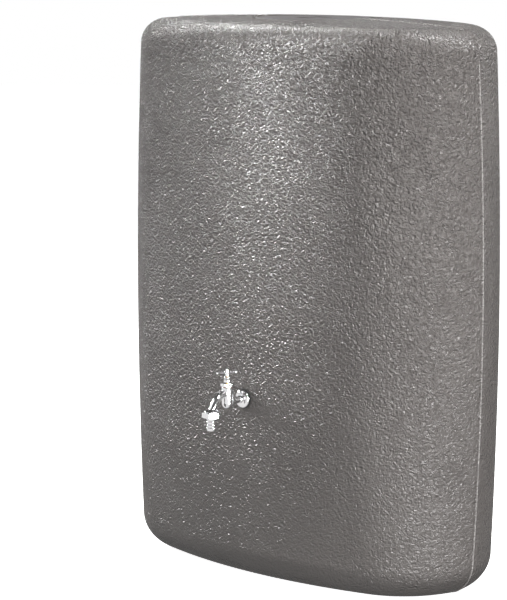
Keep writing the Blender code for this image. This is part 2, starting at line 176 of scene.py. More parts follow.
def form_rows(outline, height, inset, pitch):
    """Return the form's rows of points from its base edge to the edge of its crown."""
    x, y, nx, ny = outline.T
    half_w, half_d = x.max(), y.max()
    tops = height - CROWN_X * (x / half_w) ** 2 - CROWN_Y * (y / half_d) ** 2 - inset
    base_fillet = BASE_FILLET - inset
    top_fillet = TOP_FILLET - inset
    rows = []

    def add_row(extra, z):
        t = 2.0 * z / height - 1.0
        away = inset + extra
        rows.append(np.stack([
            x - nx * (away + BULGE_X * t * t * abs(nx)),
            y - ny * (away + BULGE_Y * t * t * abs(ny)),
            z * np.ones_like(x),
        ], axis=1))

    low = inset + base_fillet
    steps = max(6, round(base_fillet * math.pi / 2 / pitch))
    for i in range(steps):
        angle = math.pi / 2 * i / steps
        add_row(base_fillet * (1.0 - math.sin(angle)), inset + base_fillet * (1.0 - math.cos(angle)))
    steps = round((height - top_fillet - base_fillet) / pitch)
    for i in range(steps + 1):
        add_row(0.0, low + (tops - top_fillet - low) * i / steps)
    steps = max(6, round(top_fillet * math.pi / 2 / pitch))
    for i in range(1, steps + 1):
        angle = (math.pi / 2 - CROWN_SLOPE) * i / steps
        add_row(top_fillet * (1.0 - math.cos(angle)), tops + top_fillet * (math.sin(angle) - 1.0))
    return rows


def crown_rows(edge, summit, radius, steps):
    """Return rows over the crown, from its edge to a circle round the filler well."""
    reach = np.hypot(edge[:, 0], edge[:, 1])
    circle = edge[:, :2] * (radius / reach)[:, None]
    rows = []
    for i in range(1, steps + 1):
        share = 1.0 - (1.0 - i / steps) ** 1.15
        plan = edge[:, :2] * (1.0 - share) + circle * share
        k = np.hypot(plan[:, 0], plan[:, 1]) / reach
        rows.append(np.column_stack([plan, summit - (summit - edge[:, 2]) * k * k]))
    return rows


def ring_rows(edge, profile):
    """Return circular rows in the directions of an edge's points, for (radius, z) pairs."""
    direction = edge[:, :2] / np.hypot(edge[:, 0], edge[:, 1])[:, None]
    return [np.column_stack([direction * radius, np.full(len(edge), z)]) for radius, z in profile]


def arc(centre_r, centre_z, radius, start, end, steps):
    """Return (radius, z) points on an arc, angles in degrees from the outward direction."""
    points = []
    for i in range(steps + 1):
        angle = math.radians(start + (end - start) * i / steps)
        points.append((centre_r + radius * math.cos(angle), centre_z + radius * math.sin(angle)))
    return points


def neck_profile():
    """Return the neck's inner wall from the well's floor down to its lip, and its outside."""
    lip = 0.0012
    profile = arc(NECK_RADIUS + lip, WELL_FLOOR_Z - lip, lip, 90, 180, 3)
    steps = 22
    top = WELL_FLOOR_Z - lip
    low = NECK_BOTTOM_Z + lip
    for i in range(1, steps):
        profile.append((NECK_RADIUS, top + (low - top) * i / steps))
    profile += arc(NECK_RADIUS + lip, low, lip, 180, 270, 3)
    profile += arc(NECK_RADIUS + WALL - lip, low, lip, 270, 360, 3)
    return profile


def grain_height(point):
    """Return the moulded grain's height over one point of the skin, about -1 to 1."""
    scale = 1.0 / GRAIN_LENGTH
    warp = noise.noise_vector(point * (scale * 0.45)) * 0.55
    place = point * scale + warp
    wrinkle = 1.0 - 2.4 * abs(noise.noise(place))
    pebble = noise.noise(place * 1.9 + Vector((7.0, 3.0, 5.0)))
    patch = 0.75 + 0.5 * noise.noise(point * 5.0)
    return (0.65 * wrinkle + 0.55 * pebble) * patch


def seam_height(y, side_weight):
    """Return the parting line's ridge, and the fine groove in front of it."""
    ridge = SEAM_HEIGHT * np.exp(-(y / SEAM_HALF_WIDTH) ** 2)
    groove = SEAM_GROOVE * np.exp(-((y - SEAM_GROOVE_Y) / SEAM_HALF_WIDTH) ** 2)
    return (ridge - groove) * side_weight


def outward_normals(rows):
    """Return unit normals of a closed grid of rows."""
    around = np.roll(rows, -1, axis=1) - np.roll(rows, 1, axis=1)
    along = np.gradient(rows, axis=0)
    normal = np.cross(around, along)
    return normal / np.maximum(np.linalg.norm(normal, axis=2, keepdims=True), 1e-12)


def grid_mesh(name, rows, first_pole, last_pole):
    """Make a closed mesh from rows of points, its two ends closed by fans."""
    count = rows.shape[1]
    points = np.concatenate([rows.reshape(-1, 3), [first_pole, last_pole]])
    i = np.arange(rows.shape[0] - 1)[:, None] * count
    j = np.arange(count)[None, :]
    k = (j + 1) % count
    quads = np.stack([i + j, i + k, i + count + k, i + count + j], axis=2).reshape(-1, 4)
    last = (rows.shape[0] - 1) * count
    first_at, last_at = len(points) - 2, len(points) - 1
    j, k = j[0], k[0]
    fans = np.concatenate([
        np.stack([np.full(count, first_at), k, j], axis=1),
        np.stack([np.full(count, last_at), last + j, last + k], axis=1),
    ])
    mesh = bpy.data.meshes.new(name)
    mesh.vertices.add(len(points))
    mesh.vertices.foreach_set("co", points.astype(np.float32).ravel())
    corners = np.concatenate([quads.ravel(), fans.ravel()])
    mesh.loops.add(len(corners))
    mesh.loops.foreach_set("vertex_index", corners.astype(np.int32))
    sizes = np.concatenate([np.full(len(quads), 4), np.full(len(fans), 3)])
    mesh.polygons.add(len(sizes))
    mesh.polygons.foreach_set("loop_start", (np.cumsum(sizes) - sizes).astype(np.int32))
    mesh.polygons.foreach_set("loop_total", sizes.astype(np.int32))
    mesh.update(calc_edges=True)
    mesh.validate()
    mesh.shade_smooth()
    return mesh


def tank_skin():
    """Make the moulded tank: a grained outer skin with its parting line, well, neck and inside."""
    low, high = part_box("tank_shell")
    height = high.z - low.z + HEIGHT_OVER_RIM
    outline = plan_outline(high.x - low.x, high.y - low.y)
    outer = form_rows(outline, height, 0.0, PITCH)
    base = [outer[0] * (scale, scale, 1.0) for scale in np.linspace(0.1, 0.95, 9)]
    grained_from = len(base)
    crown = crown_rows(outer[-1], height, WELL_RADIUS + 0.0015, 62)
    grained_to = len(base) + len(outer) + len(crown) - 3
    rim_z = height - 0.0022
    well = ring_rows(crown[-1], [(WELL_RADIUS + 0.0004, rim_z), (WELL_RADIUS, rim_z - 0.0012)])
    wall_heights = np.linspace(rim_z - 0.003, WELL_FLOOR_Z + 0.001, 4)
    well += ring_rows(crown[-1], [(WELL_RADIUS, z) for z in wall_heights])
    well += ring_rows(crown[-1], arc(WELL_RADIUS - 0.001, WELL_FLOOR_Z + 0.001, 0.001, 0, -90, 2))
    floor_radii = np.linspace(WELL_RADIUS - 0.003, NECK_RADIUS + 0.002, 4)
    well += ring_rows(crown[-1], [(radius, WELL_FLOOR_Z) for radius in floor_radii])
    neck = ring_rows(crown[-1], neck_profile())
    under_floor = WELL_FLOOR_Z - WALL
    outside = [(NECK_RADIUS + WALL, z) for z in np.linspace(NECK_BOTTOM_Z + 0.005, under_floor, 5)]
    outside += [(WELL_RADIUS + WALL - 0.001, under_floor), (WELL_RADIUS + WALL, under_floor + 0.001)]
    inner = form_rows(outline, height, WALL, 0.030)
    inner_crown = crown_rows(inner[-1], height - WALL, WELL_RADIUS + WALL, 8)
    outside.append((WELL_RADIUS + WALL, float(inner_crown[-1][:, 2].min()) - 0.001))
    neck_outside = ring_rows(crown[-1], outside)
    inner_base = [inner[0] * (scale, scale, 1.0) for scale in (0.8, 0.4, 0.05)]
    inside = inner_crown[::-1] + inner[::-1] + inner_base
    rows = np.stack(base + outer + crown + well + neck + neck_outside + inside)

    normals = outward_normals(rows)
    lift = np.zeros(rows.shape[:2])
    band = slice(grained_from, grained_to)
    noise.seed_set(GRAIN_SEED)
    heights = [grain_height(Vector(point)) for point in rows[band].reshape(-1, 3)]
    grain = np.array(heights).reshape(rows[band].shape[:2])
    fade_low = np.clip(rows[band][..., 2] / 0.012, 0.0, 1.0)
    rim_gap = np.hypot(rows[band][..., 0], rows[band][..., 1]) - WELL_RADIUS
    on_top = rows[band][..., 2] > height - TOP_FILLET
    fade_rim = np.where(on_top, np.clip(rim_gap / 0.012, 0.0, 1.0), 1.0)
    seam_y = rows[band][..., 1]
    near_seam = np.exp(-(seam_y / 0.005) ** 2)
    calm = 1.0 - 0.35 * np.clip(1.0 - rows[band][..., 2] / 0.16, 0.0, 1.0)
    lift[band] = GRAIN_DEPTH * grain * fade_low * fade_rim * calm * (1.0 - 0.8 * near_seam)
    seam_fade = fade_rim * np.clip(rows[band][..., 2] / 0.006, 0.0, 1.0)
    lift[band] += seam_height(seam_y, seam_fade)
    rows = rows + normals * lift[..., None]

    mesh = grid_mesh("tank_skin", rows, (0.0, 0.0, low.z), (0.0, 0.0, low.z + WALL))
    return link("tank_skin", mesh)


# ---------------------------------------------------------------- turned and cast pieces

def rounded(profile, radius, steps=3):
    """Return a profile with each of its inner corners replaced by a small arc."""
    points = [profile[0]]
    for before, corner, after in zip(profile, profile[1:], profile[2:]):
        a, b, c = Vector(before), Vector(corner), Vector(after)
        reach = min(radius, 0.45 * (a - b).length, 0.45 * (c - b).length)
        start = b + (a - b).normalized() * reach
        end = b + (c - b).normalized() * reach
        for i in range(steps + 1):
            t = i / steps
            points.append(tuple(start * (1 - t) ** 2 + b * (2 * t * (1 - t)) + end * t ** 2))
    points.append(profile[-1])
    return points


def thread(radius, low, high, pitch, depth):
    """Return rows (radius, height, depth, pitch) of a screw thread between two heights."""
    count = max(2, round(abs(high - low) / pitch * 8))
    return [(radius, low + (high - low) * i / count, depth, pitch) for i in range(count + 1)]


def bridge(bm, rings):
    """Join each closed ring of vertices to the next with a band of quads."""
    for low, high in zip(rings, rings[1:]):
        for i in range(len(low)):
            j = (i + 1) % len(low)
            bm.faces.new((low[i], low[j], high[j], high[i]))


def capped(name, bm, rings):
    """Return an object made of rings that are bridged, with both ends closed."""
    bridge(bm, rings)
    bm.faces.new(rings[0])
    bm.faces.new(rings[-1])
    bmesh.ops.recalc_face_normals(bm, faces=bm.faces)
    return link(name, take_mesh(name, bm))


def turned(name, profile, steps=64):
    """Turn a profile about Z; rows with a thread's depth and pitch wind round it.

    A profile that starts and ends on the axis makes a solid; any other is closed into a ring.
    """
    bm = bmesh.new()
    rings = []
    for radius, height, *wound in profile:
        if radius == 0.0:
            rings.append([bm.verts.new((0.0, 0.0, height))])
            continue
        ring = []
        for i in range(steps):
            angle = math.tau * i / steps
            reach = radius
            if wound:
                depth, pitch = wound
                phase = height / pitch - i / steps
                reach -= depth * abs(2.0 * (phase - math.floor(phase)) - 1.0)
            ring.append(bm.verts.new((reach * math.cos(angle), reach * math.sin(angle), height)))
        rings.append(ring)
    if profile[0][0] > 0.0:
        rings.append(rings[0])
    for low, high in zip(rings, rings[1:]):
        for i in range(steps):
            j = (i + 1) % steps
            if len(low) == 1:
                bm.faces.new((low[0], high[i], high[j]))
            elif len(high) == 1:
                bm.faces.new((low[i], low[j], high[0]))
            else:
                bm.faces.new((low[i], low[j], high[j], high[i]))
    bmesh.ops.recalc_face_normals(bm, faces=bm.faces)
    return link(name, take_mesh(name, bm))


def rod(name, radius, low, high, steps=48):
    """Return a plain round bar along Z, used to bore holes."""
    return turned(name, [(0.0, low), (radius, low), (radius, high), (0.0, high)], steps)


def swept(name, path, radii, steps=40):
    """Return a round bar swept along points in the YZ plane, its radius changing."""
    bm = bmesh.new()
    rings = []
    across = Vector((1.0, 0.0, 0.0))
    for i, (point, radius) in enumerate(zip(path, radii)):
        ahead = path[min(i + 1, len(path) - 1)] - path[max(i - 1, 0)]
        normal = ahead.normalized().cross(across)
        ring = []
        for k in range(steps):
            angle = math.tau * k / steps
            offset = across * (radius * math.cos(angle)) + normal * (radius * math.sin(angle))
            ring.append(bm.verts.new(point + offset))
        rings.append(ring)
    return capped(name, bm, rings)


def settle(obj, tools=()):
    """Bake an object's modifiers into its mesh and remove the tools they used."""
    bpy.context.view_layer.update()
    graph = bpy.context.evaluated_depsgraph_get()
    mesh = bpy.data.meshes.new_from_object(obj.evaluated_get(graph))
    obj.modifiers.clear()
    obj.data = mesh
    for tool in tools:
        bpy.data.objects.remove(tool, do_unlink=True)
    mesh.shade_smooth()
    mesh.set_sharp_from_angle(angle=SHARP_ANGLE)
    return obj


def combine(obj, tools, operation):
    """Join tools to an object, or cut them away, with exact Booleans."""
    for tool in tools:
        modifier = obj.modifiers.new(tool.name, "BOOLEAN")
        modifier.operation = operation
        modifier.solver = "EXACT"
        modifier.object = tool
    return settle(obj, tools)


def blend(obj, tools, voxel, rounds):
    """Join overlapping tools to an object as one casting with soft fillets."""
    combine(obj, tools, "UNION")
    remesh = obj.modifiers.new("casting", "REMESH")
    remesh.mode = "VOXEL"
    remesh.voxel_size = voxel
    smooth = obj.modifiers.new("fillets", "SMOOTH")
    smooth.factor = 0.5
    smooth.iterations = rounds
    return settle(obj)


def hexagon(name, flats, low, high):
    """Return a solid hexagon along Z with turned chamfers."""
    corner = flats / math.sqrt(3.0)
    form = turned(name, [(0.0, low), (corner, low), (corner, high), (0.0, high)], 6)
    chamfer = (corner - flats / 2) * 0.95
    profile = [(0.0, low), (corner - chamfer, low), (corner, low + chamfer / 2)]
    profile += [(corner, high - chamfer / 2), (corner - chamfer, high), (0.0, high)]
    return combine(form, [turned(name + "_turning", rounded(profile, 0.0004))], "INTERSECT")


def inlet_frame():
    """Return the point on the wall on the inlet's axis."""
    low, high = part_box("tap_rosette")
    return Vector(((low.x + high.x) / 2, high.y + INLET_BACK, (low.z + high.z) / 2))


def joint_axis(name):
    """Return the X and Y of a vertical joint's axis from the record."""
    for joint in frame["record"]["behaviour"]["joints"]:
        if joint["name"] == name:
            return joint["pos_m"][0], joint["pos_m"][1]
    raise KeyError(name)


def on_inlet(obj):
    """Put a turned object on the inlet's axis, its +Z pointing out from the wall."""
    obj.location = inlet_frame()
    obj.rotation_euler = (math.pi / 2, 0.0, 0.0)
    return obj


def on_axis(obj, joint):
    """Put a turned object on a joint's axis, heights counted from the inlet's axis."""
    obj.location = (*joint_axis(joint), inlet_frame().z)
    return obj


def fit_piece(obj, node, material, body, slot):
    """Give a piece its material and let it stand for a node of the part."""
    obj.data.materials.clear()
    obj.data.materials.append(material)
    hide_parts(node)
    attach(obj, body)
    return obj


def make_rosette():
    """The spun chrome disc on the wall, with a rolled rim."""
    profile = [
        (0.01602, 0.00303), (0.01785, 0.00303), (0.01779, 0.00420), (0.01700, 0.00600),
        (0.01560, 0.00745), (0.01370, 0.00860), (0.01130, 0.00950), (0.00900, 0.01000),
        (0.00730, 0.01035), (0.00727, 0.00900), (0.01155, 0.00800), (0.01455, 0.00620),
    ]
    profile = rounded(profile + profile[:1], 0.0006)[:-1]
    return on_inlet(turned("rosette", profile, 96))


def spout_path(count):
    """Return points along the spout, which leaves the chamber high and swoops to the outlet."""
    x, spindle_y = joint_axis("handle_turn")
    reach = joint_axis("union_nut_turn")[1] - spindle_y
    z = inlet_frame().z
    controls = [
        Vector((x, spindle_y, z + 0.0126)),
        Vector((x, spindle_y + reach * 0.45, z + 0.02205)),
        Vector((x, spindle_y + reach * 0.83, z + 0.0021)),
        Vector((x, spindle_y + reach, z - 0.0147)),
    ]
    points = []
    for i in range(count):
        t = i / (count - 1)
        weights = ((1 - t) ** 3, 3 * t * (1 - t) ** 2, 3 * t * t * (1 - t), t ** 3)
        points.append(sum((point * weight for point, weight in zip(controls, weights)), Vector()))
    return points


def make_tap_body():
    """The cast body: inlet, valve chamber, spout and outlet with cast fillets, then bored."""
    wall = inlet_frame()
    spindle_out = wall.y - joint_axis("handle_turn")[1]
    chamber = [
        (0.0, -0.01418), (0.00473, -0.01340), (0.00870, -0.01010), (0.01070, -0.00473),
        (0.01075, 0.00900), (0.01090, 0.01890), (0.01120, 0.02573), (0.01090, 0.02730),
        (0.0, 0.02730),
    ]
    body = on_axis(turned("tap_casting", rounded(chamber, 0.002)), "handle_turn")
    tube = [
        (0.0, 0.00200), (0.01365, 0.00200), (0.01365, 0.00500), (TUBE_RADIUS, 0.00740),
        (TUBE_RADIUS, spindle_out - 0.0042), (0.0, spindle_out - 0.0042),
    ]
    inlet = on_inlet(turned("inlet_form", rounded(tube, 0.001)))
    count = 28
    radii = [SPOUT_RADIUS - 0.00020 * math.sin(math.pi * i / (count - 1)) for i in range(count)]
    spout = swept("spout_form", spout_path(count), radii)
    outlet = [
        (0.0, -0.01890), (0.01340, -0.01890), (0.01340, -0.01410), (0.01470, -0.01377),
        (0.01470, -0.01290), (0.00800, -0.00924), (0.0, -0.00924),
    ]
    skirt = on_axis(turned("outlet_form", outlet), "union_nut_turn")
    blend(body, [inlet, spout, skirt], 0.00045, 5)
    shank = [(0.0, -0.0147), *thread(0.01092, -0.0147, 0.0026, 0.0018, 0.0007), (0.0, 0.0026)]
    combine(body, [on_inlet(turned("shank_form", shank))], "UNION")
    bores = [
        on_inlet(rod("inlet_bore", BORE_RADIUS, -0.021, spindle_out)),
        on_axis(rod("lower_chamber", 0.0063, -0.0084, 0.0042), "handle_turn"),
        on_axis(rod("seat_bore", SPOUT_BORE, 0.00315, 0.00945), "handle_turn"),
        on_axis(rod("upper_chamber", 0.00865, 0.0084, 0.0315), "handle_turn"),
        swept("spout_bore", spout_path(18), [SPOUT_BORE] * 18),
        on_axis(rod("outlet_bore", 0.00788, -0.0231, -0.0126), "union_nut_turn"),
    ]
    return combine(body, bores, "DIFFERENCE")


def make_bonnet():
    """The hexagonal bonnet with its screwed end and threaded neck."""
    bonnet = on_axis(hexagon("bonnet_piece", 0.02257, 0.0285, 0.03423), "handle_turn")
    screwed = [(0.0, 0.01838), *thread(0.0083, 0.01838, 0.0278, 0.0014, 0.0006)]
    screwed += [(0.0083, 0.0279), (0.0083, 0.0305), (0.0, 0.0305)]
    neck = [(0.0, 0.0315), (0.00525, 0.0315), (0.00525, 0.03465), (0.00405, 0.03591)]
    neck += [(0.00405, 0.0361), *thread(0.00405, 0.0362, 0.0418, 0.001, 0.0003), (0.0, 0.0420)]
    forms = [
        on_axis(turned("bonnet_screw", screwed), "handle_turn"),
        on_axis(turned("bonnet_neck", neck), "handle_turn"),
    ]
    combine(bonnet, forms, "UNION")
    bores = [
        on_axis(rod("bonnet_bore", 0.00273, 0.021, 0.0441), "handle_turn"),
        on_axis(rod("bonnet_thread", 0.00451, 0.01575, 0.03045), "handle_turn"),
    ]
    return combine(bonnet, bores, "DIFFERENCE")


def make_packing_nut():
    """The slender cone-shaped nut that squeezes the packing."""
    profile = [
        (0.00441, 0.03623), (0.00672, 0.03623), (0.00672, 0.04043), (0.00640, 0.04120),
        (0.00560, 0.04420), (0.00525, 0.0462), (0.00284, 0.0462), (0.00284, 0.04441),
        (0.00441, 0.04441),
    ]
    profile = rounded(profile + profile[:1], 0.0005)[:-1]
    return on_axis(turned("packing_nut_piece", profile), "handle_turn")


def make_spindle():
    """The brass spindle: screwed low down, plain stem above, bored for jumper and screw."""
    profile = [(0.0, 0.021), (0.00189, 0.021), (0.00189, 0.01323), (0.00380, 0.01323)]
    profile += thread(0.0042, 0.0134, 0.0240, 0.0031, 0.0007)
    profile += [(0.00252, 0.02499), (0.00252, 0.05940), (0.00230, 0.05964), (0.00126, 0.05964)]
    profile += [(0.00126, 0.0504), (0.0, 0.0504)]
    return on_axis(turned("spindle_piece", profile, 48), "handle_turn")


def make_handle():
    """The tee handle: a slim bar with rounded ends through a waisted hub."""
    hub = [
        (0.0, 0.04704), (0.00340, 0.04704), (0.00385, 0.04788), (0.00355, 0.05050),
        (0.00370, 0.05250), (0.00415, 0.05460), (0.00375, 0.05775), (0.00345, 0.05985),
        (0.0, 0.05985),
    ]
    handle = on_axis(turned("handle_piece", rounded(hub, 0.0012)), "handle_turn")
    half = HANDLE_HALF
    bar = [
        (0.0, -half), (0.0020, -half + 0.0002), (0.0028, -half + 0.0012),
        (0.0028, -half + 0.0030), (0.0024, -half + 0.0060),
        (0.0024, half - 0.0060), (0.0028, half - 0.0030),
        (0.0028, half - 0.0012), (0.0020, half - 0.0002), (0.0, half),
    ]
    tee = turned("handle_bar", rounded(bar, 0.0012), 32)
    tee.location = (*joint_axis("handle_turn"), inlet_frame().z + HANDLE_Z)
    tee.rotation_euler = (0.0, math.pi / 2, HANDLE_TURN)
    blend(handle, [tee], 0.0003, 4)
    bore = on_axis(rod("handle_bore", 0.00284, 0.042, 0.063), "handle_turn")
    return combine(handle, [bore], "DIFFERENCE")


def make_handle_screw():
    """The screw on top of the handle, with a driver slot."""
    head = [
        (0.00094, 0.06016), (0.00347, 0.06016), (0.00347, 0.0609), (0.00240, 0.06165), (0.0, 0.06195),
    ]
    shank = thread(0.00094, 0.0525, 0.0600, 0.0005, 0.0001)
    profile = [(0.0, 0.0525), *shank, *rounded(head, 0.0002)]
    screw = on_axis(turned("handle_screw_piece", profile, 48), "handle_turn")
    bm = bmesh.new()
    bmesh.ops.create_cube(bm, size=1.0)
    bmesh.ops.scale(bm, vec=Vector((0.0009, 0.009, 0.0018)), verts=bm.verts)
    slot = link("driver_slot", take_mesh("driver_slot", bm))
    slot.location = (*joint_axis("handle_turn"), inlet_frame().z + 0.0621)
    slot.rotation_euler = (0.0, 0.0, math.radians(25.0))
    return combine(screw, [slot], "DIFFERENCE")


def make_union_nut():
    """The hexagonal nut of the hose union, threaded inside."""
    low, high = -0.02457, -0.01407
    nut = on_axis(hexagon("union_nut_piece", 0.03202, low, high), "union_nut_turn")
    inside = [(0.0, low + 0.00158), (0.01396, low + 0.00158)]
    winding = thread(0.01396, low + 0.002, high - 0.001, 0.0018, 0.0004)
    inside += [(radius + depth, z, depth, pitch) for radius, z, depth, pitch in winding]
    inside += [(0.01396, high - 0.0008), (0.01396, high + 0.0021), (0.0, high + 0.0021)]
    bores = [
        on_axis(rod("union_lip", 0.01113, low - 0.0021, high), "union_nut_turn"),
        on_axis(turned("union_thread", inside), "union_nut_turn"),
    ]
    return combine(nut, bores, "DIFFERENCE")


def make_hose_tail():
    """The hose tail: a flange under the nut, a collar and four rounded rings."""
    top, low, flange_low = -0.02109, -0.02562, -0.02269
    pitch = 0.00588
    profile = [(0.00683, top), (0.01323, top), (0.01323, flange_low)]
    profile += [(0.00945, flange_low), (0.00945, low)]
    for i in range(4):
        start = low - pitch * i
        profile += [(0.01035, start - 0.00015), (0.01050, start - 0.00060), (0.01020, start - 0.00180)]
        profile += [(0.00900, start - pitch + 0.00090), (0.00882, start - pitch + 0.00042)]
    profile += [(0.00860, low - pitch * 4), (0.00683, low - pitch * 4)]
    profile = rounded(profile + profile[:1], 0.0004)[:-1]
    return on_axis(turned("hose_tail_piece", profile), "union_nut_turn")


def make_lid():
    """The flush screw lid: two finger pockets with a grip bar between, and a threaded skirt."""
    low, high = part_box("lid")
    top = high.z
    profile = [(0.0, top)]
    profile += [(radius, top) for radius in np.linspace(0.006, 0.1075, 30)]
    profile += [(0.1085, top - 0.0001), (0.1100, top - 0.0008), (LID_RADIUS, top - 0.0020)]
    profile += [(LID_RADIUS, 1.0366), (0.0965, 1.0366)]
    profile += thread(0.0965, 1.0340, low.z + 0.003, 0.006, 0.0009)
    profile += [(0.0955, low.z), (SKIRT_INNER, low.z)]
    profile += [(SKIRT_INNER, top - 0.0035), (0.0, top - 0.0035)]
    lid = turned("lid_piece", profile, 120)
    cups = []
    holes = []
    for side in (-1, 1):
        out = side * POCKET_OUT
        cups.append(pillow("cup", out, 0.0035, top - 0.0215, top - 0.00175, 0.0))
        holes.append(pillow("pocket", out, 0.0, top - 0.018, top + 0.004, 0.0014))
    combine(lid, cups, "UNION")
    return combine(lid, holes, "DIFFERENCE")


def pillow(name, y, grow, low, high, round_edge):
    """Return an upright prism with a finger pocket's outline, its lower edge rounded."""
    corner = 0.009
    half_x = 0.023 - corner
    half_y = 0.012 - corner
    levels = [(low, 0.0), (high, 0.0)]
    if round_edge:
        levels = [
            (low, -round_edge), (low + round_edge * 0.3, -round_edge * 0.3),
            (low + round_edge, 0.0), (high, 0.0),
        ]
    bm = bmesh.new()
    rings = []
    for z, inset in levels:
        ring = []
        for side_x, side_y, start in ((1, 1, 0.0), (-1, 1, 0.25), (-1, -1, 0.5), (1, -1, 0.75)):
            for i in range(9):
                angle = math.tau * (start + 0.25 * i / 8)
                reach = corner + grow + inset
                x = side_x * half_x + reach * math.cos(angle)
                ring.append(bm.verts.new((x, y + side_y * half_y + reach * math.sin(angle), z)))
        rings.append(ring)
    return capped(name, bm, rings)


# ---------------------------------------------------------------- materials

class Nodes:
    """A small helper that builds one material's node tree."""

    def __init__(self, name):
        self.material = bpy.data.materials.new(name)
        self.material.use_nodes = True
        self.tree = self.material.node_tree
        self.shader = self.tree.nodes["Principled BSDF"]
        coordinates = self.tree.nodes.new("ShaderNodeTexCoord")
        self.place = coordinates.outputs["Object"]

    def add(self, kind, inputs=None, **settings):
        """Add a node, set its properties, and set or link its inputs."""
        node = self.tree.nodes.new(kind)
        for key, value in settings.items():
            setattr(node, key, value)
        for key, value in (inputs or {}).items():
            if isinstance(value, bpy.types.NodeSocket):
                self.tree.links.new(value, node.inputs[key])
            else:
                node.inputs[key].default_value = value
        return node

    def noise(self, vector, scale, detail=2.0, roughness=0.5, distortion=0.0):
        """Return a noise texture's value."""
        node = self.add("ShaderNodeTexNoise", {
            "Vector": vector, "Scale": scale, "Detail": detail,
            "Roughness": roughness, "Distortion": distortion,
        })
        return node.outputs["Fac"]

    def math(self, operation, first, second=0.0):
        """Return the result of a math node."""
        node = self.add("ShaderNodeMath", {0: first, 1: second}, operation=operation)
        return node.outputs[0]

    def ramp(self, value, stops):
        """Return a colour ramp's colour, for (position, colour) stops."""
        node = self.add("ShaderNodeValToRGB", {"Fac": value})
        ramp = node.color_ramp
        while len(ramp.elements) < len(stops):
            ramp.elements.new(0.5)
        for element, (position, colour) in zip(ramp.elements, stops):
            element.position = position
            element.color = (*colour, 1.0)
        return node.outputs["Color"]

    def mix(self, share, first, second):
        """Return one colour blended into a plain second one."""
        node = self.add("ShaderNodeMixRGB", {"Fac": share, "Color1": first, "Color2": (*second, 1.0)})
        return node.outputs["Color"]

    def range(self, value, low, high, start=0.0, end=1.0):
        """Return a value that runs from start to end, spread between two numbers."""
        node = self.add("ShaderNodeMapRange", {
            "Value": value, "From Min": start, "From Max": end, "To Min": low, "To Max": high,
        })
        return node.outputs["Result"]

    def bump(self, height, distance, strength=1.0, under=None):
        """Return a bumped normal, on top of another if one is given."""
        inputs = {"Height": height, "Distance": distance, "Strength": strength}
        if under is not None:
            inputs["Normal"] = under
        return self.add("ShaderNodeBump", inputs).outputs["Normal"]

    def finish(self, **values):
        """Set or link the shader's own sockets, by name with underscores for spaces."""
        for key, value in values.items():
            socket = self.shader.inputs[key.replace("_", " ")]
            if isinstance(value, bpy.types.NodeSocket):
                self.tree.links.new(value, socket)
            elif isinstance(value, tuple):
                socket.default_value = (*value, 1.0)
            else:
                socket.default_value = value
        return self.material


def stone_plastic():
    """Warm grey moulded polyethylene with a stone grain, and a painted highlight along the parting
    line's upright sides.
    """
    n = Nodes("stone_plastic")
    wrinkle = n.noise(n.place, 130.0, 1.5, 0.5, 0.7)
    ridges = n.math("ABSOLUTE", n.math("SUBTRACT", wrinkle, 0.5))
    pebbles = n.noise(n.place, 210.0, 1.0, 0.5, 0.3)
    height = n.math("ADD", n.math("MULTIPLY", ridges, -2.2), n.math("MULTIPLY", pebbles, 1.0))
    fine = n.noise(n.place, 900.0, 1.0)
    split = n.add("ShaderNodeSeparateXYZ", {"Vector": n.place}).outputs
    depth = n.range(split["Z"], 0.0026, 0.0074, 0.15, 1.0)
    coarse_normal = n.bump(n.math("MULTIPLY", height, depth), 1.0)
    normal = n.bump(fine, 0.00012, 1.0, coarse_normal)
    patches = n.noise(n.place, 6.0, 3.0, 0.6)
    colour = n.ramp(patches, [(0.3, (0.124, 0.113, 0.108)), (0.7, (0.147, 0.135, 0.129))])
    roughness = n.range(patches, 0.22, 0.29)
    # Painted highlight: the parting line is painted paler on the upright sides, not on top, standing
    # in for light on its raised ridge
    ridge = n.range(n.math("ABSOLUTE", split["Y"]), 1.0, 0.0, 0.0008, 0.0020)
    upright = n.range(split["Z"], 0.75, 0.0, 0.97, 0.99)
    colour = n.mix(n.math("MULTIPLY", ridge, upright), colour, SEAM_PAINTED_HIGHLIGHT)
    return n.finish(Base_Color=colour, Roughness=roughness, Normal=normal)


def plain_metal(name, colour, roughness):
    """A plated or machined metal with faint unevenness."""
    n = Nodes(name)
    cloud = n.noise(n.place, 60.0, 3.0)
    normal = n.bump(n.noise(n.place, 260.0, 2.0), 0.00006)
    tint = n.ramp(cloud, [(0.3, tuple(0.94 * c for c in colour)), (0.7, colour)])
    return n.finish(Base_Color=tint, Roughness=n.range(cloud, roughness, roughness + 0.05),
                    Metallic=1.0, Normal=normal)


def plain_soft(name, colour, roughness, grain):
    """Rubber, fibre or packing with a fine grain."""
    n = Nodes(name)
    cloud = n.noise(n.place, grain, 3.0)
    tint = n.ramp(cloud, [(0.3, tuple(0.8 * c for c in colour)), (0.7, colour)])
    return n.finish(Base_Color=tint, Roughness=n.range(cloud, roughness - 0.05, roughness + 0.08),
                    Normal=n.bump(cloud, 0.0002))


# ---------------------------------------------------------------- camera and light

def direction(azimuth, elevation):
    """Return a unit vector; azimuth 0 is in front of the barrel and a right angle is to its right."""
    level = math.cos(elevation)
    return Vector((math.sin(azimuth) * level, -math.cos(azimuth) * level, math.sin(elevation)))


